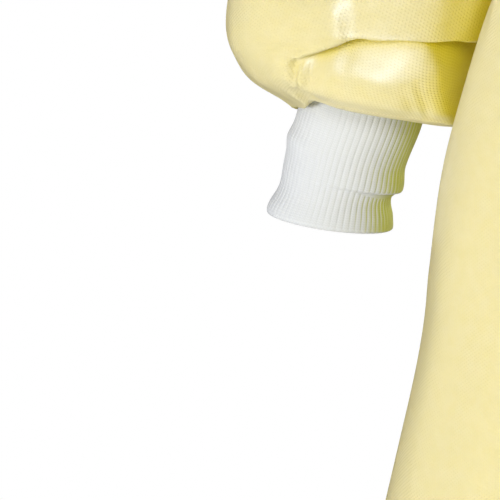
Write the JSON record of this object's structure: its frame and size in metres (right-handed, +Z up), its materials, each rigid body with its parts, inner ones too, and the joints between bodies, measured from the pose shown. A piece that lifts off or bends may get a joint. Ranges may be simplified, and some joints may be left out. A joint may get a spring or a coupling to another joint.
{
  "type": "surgical gown",
  "caption": "Worn long-sleeved surgical gown in thin yellow nonwoven, gathered into white rib-knit cuffs, with a bound neck, overlapping open back and tied belt.",
  "frame": {"origin": "midway between the wearer's shoulders, level with the shoulder seams' neck ends, where the gown is held up", "axes": "+Z up, the front of the gown faces -Y, the wearer's left is +X"},
  "size_m": [0.7273, 0.428, 1.1611],
  "materials": {
    "yellow_nonwoven": "spunbonded polypropylene with a thin plastic coating, point bonded, soft sheen",
    "white_rib_knit": "rib-knitted polyester, matte"
  },
  "bodies": {
    "root": {"front_panel": "yellow_nonwoven", "back_panel_right": "yellow_nonwoven", "back_panel_left": "yellow_nonwoven", "sleeve_right": "yellow_nonwoven", "sleeve_left": "yellow_nonwoven", "cuff_right": "white_rib_knit", "cuff_left": "white_rib_knit", "neck_binding": "yellow_nonwoven", "neck_fastening": "yellow_nonwoven", "belt_right": "yellow_nonwoven", "belt_left": "yellow_nonwoven", "belt_knot": "yellow_nonwoven", "bow_loop_right": "yellow_nonwoven", "bow_loop_left": "yellow_nonwoven", "bow_tail_right": "yellow_nonwoven", "bow_tail_left": "yellow_nonwoven"}
  },
  "joints": []
}
